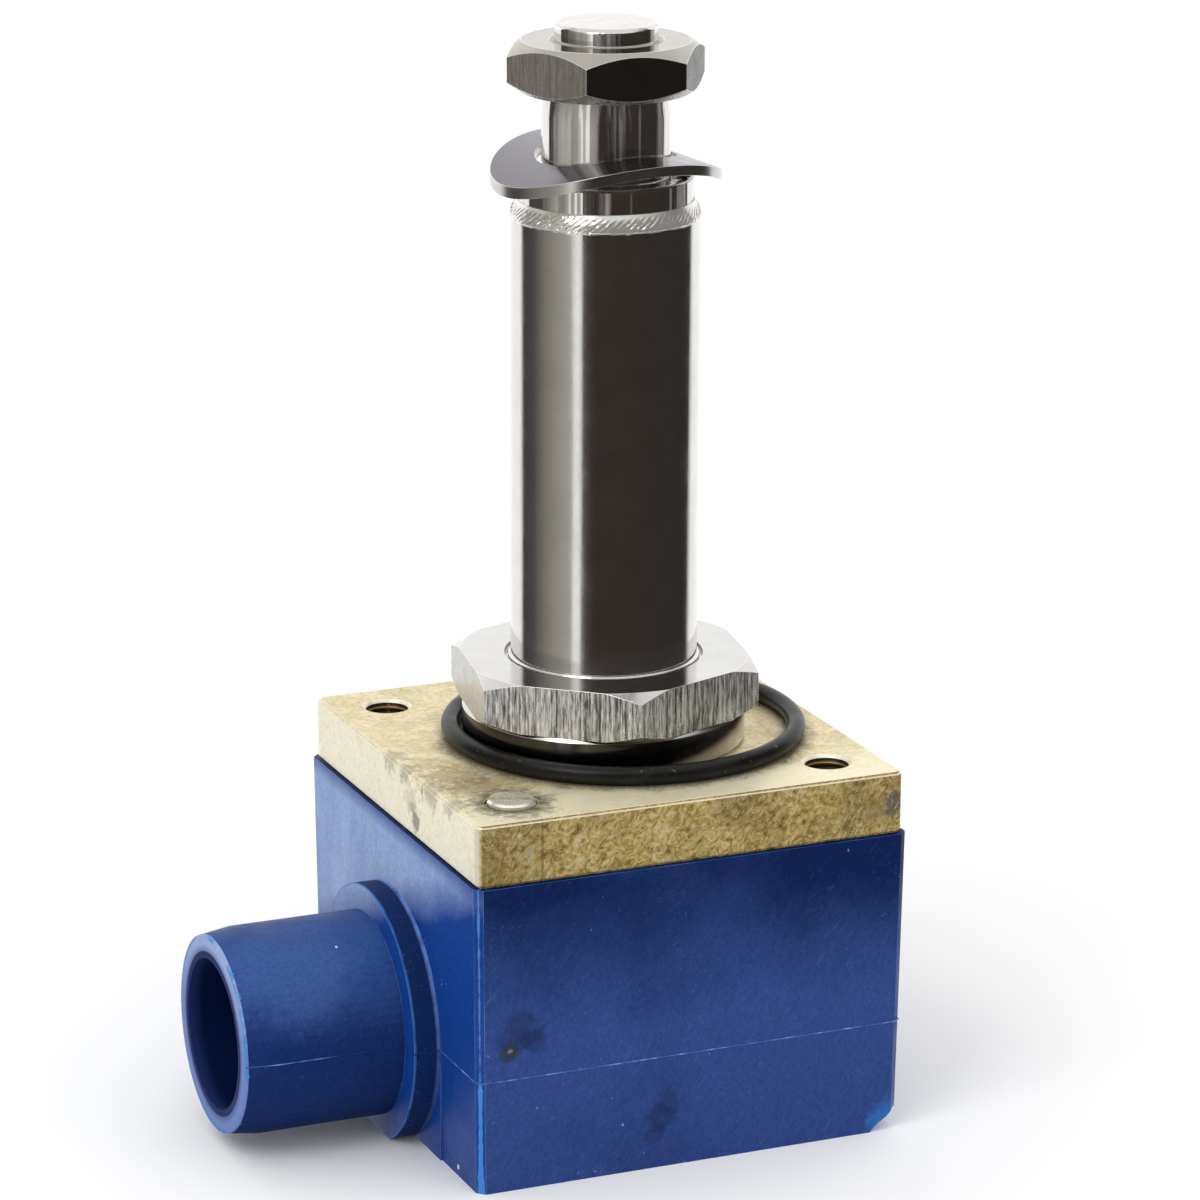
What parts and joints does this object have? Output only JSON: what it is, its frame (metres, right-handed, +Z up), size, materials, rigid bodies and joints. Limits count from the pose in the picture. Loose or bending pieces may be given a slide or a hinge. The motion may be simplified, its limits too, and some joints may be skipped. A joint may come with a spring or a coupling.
{
  "type": "solenoid milk valve",
  "caption": "Two-way corner valve for milk: moulded body with hose spigots, brass plate, stainless guide tube with inner plunger, ready for a push-on coil.",
  "frame": {"origin": "on the guide tube's axis, in the flat underside of the body", "axes": "+Z up along the guide tube, -X out of the inlet spigot, +Y out of the outlet spigot"},
  "size_m": [0.0626, 0.0626, 0.1061],
  "materials": {
    "blue_plastic": "satin moulded, scuffed edges",
    "brass": "weathered brass, matt",
    "tube_steel": "drawn stainless, bright with fine scratches",
    "core_steel": "turned stainless, polished",
    "turned_steel": "turned and ground stainless",
    "weld_steel": "rippled weld bead",
    "washer_steel": "satin spring steel",
    "nut_steel": "ground steel, dark",
    "screw_steel": "bright stainless",
    "slotted_steel": "dulled steel",
    "spring_steel": "drawn wire",
    "copper": "bright copper",
    "white_ptfe": "waxy white",
    "black_rubber": "matt moulded rubber",
    "seal_rubber": "slightly shiny rubber",
    "seat_rubber": "pale food-grade rubber"
  },
  "bodies": {
    "housing": {"valve_body": "blue_plastic", "diaphragm": "black_rubber", "support_ring": "turned_steel", "top_plate": "brass", "body_screws": "screw_steel", "screw_washers": "screw_steel", "lock_screws": "slotted_steel", "tube_hex": "turned_steel", "hex_seal": "black_rubber", "guide_tube": "tube_steel", "weld_bead": "weld_steel", "stop_core": "core_steel", "shading_ring": "copper", "return_spring": "spring_steel", "coil_seal": "seal_rubber"},
    "core": {"plunger": "core_steel", "guide_ring": "white_ptfe", "stem_screw": "screw_steel", "seat_disc": "seat_rubber", "clamp_disc": "turned_steel"},
    "washer": {"curved_washer": "washer_steel"},
    "nut": {"coil_nut": "nut_steel"}
  },
  "joints": [
    {"name": "plunger_lift", "type": "slide", "parent": "housing", "child": "core", "axis": [0, 0, 1], "range_m": [0, 0.003], "stiffness_N_per_m": 500, "springref_m": -0.01, "deforming": ["return_spring", "diaphragm"]},
    {"name": "washer_lift", "type": "slide", "parent": "housing", "child": "washer", "axis": [0, 0, 1], "range_m": [0, 0.06]},
    {"name": "nut_spin", "type": "hinge", "parent": "washer", "child": "nut", "pos_m": [0, 0, 0.102], "axis": [0, 0, 1], "continuous": true}
  ]
}
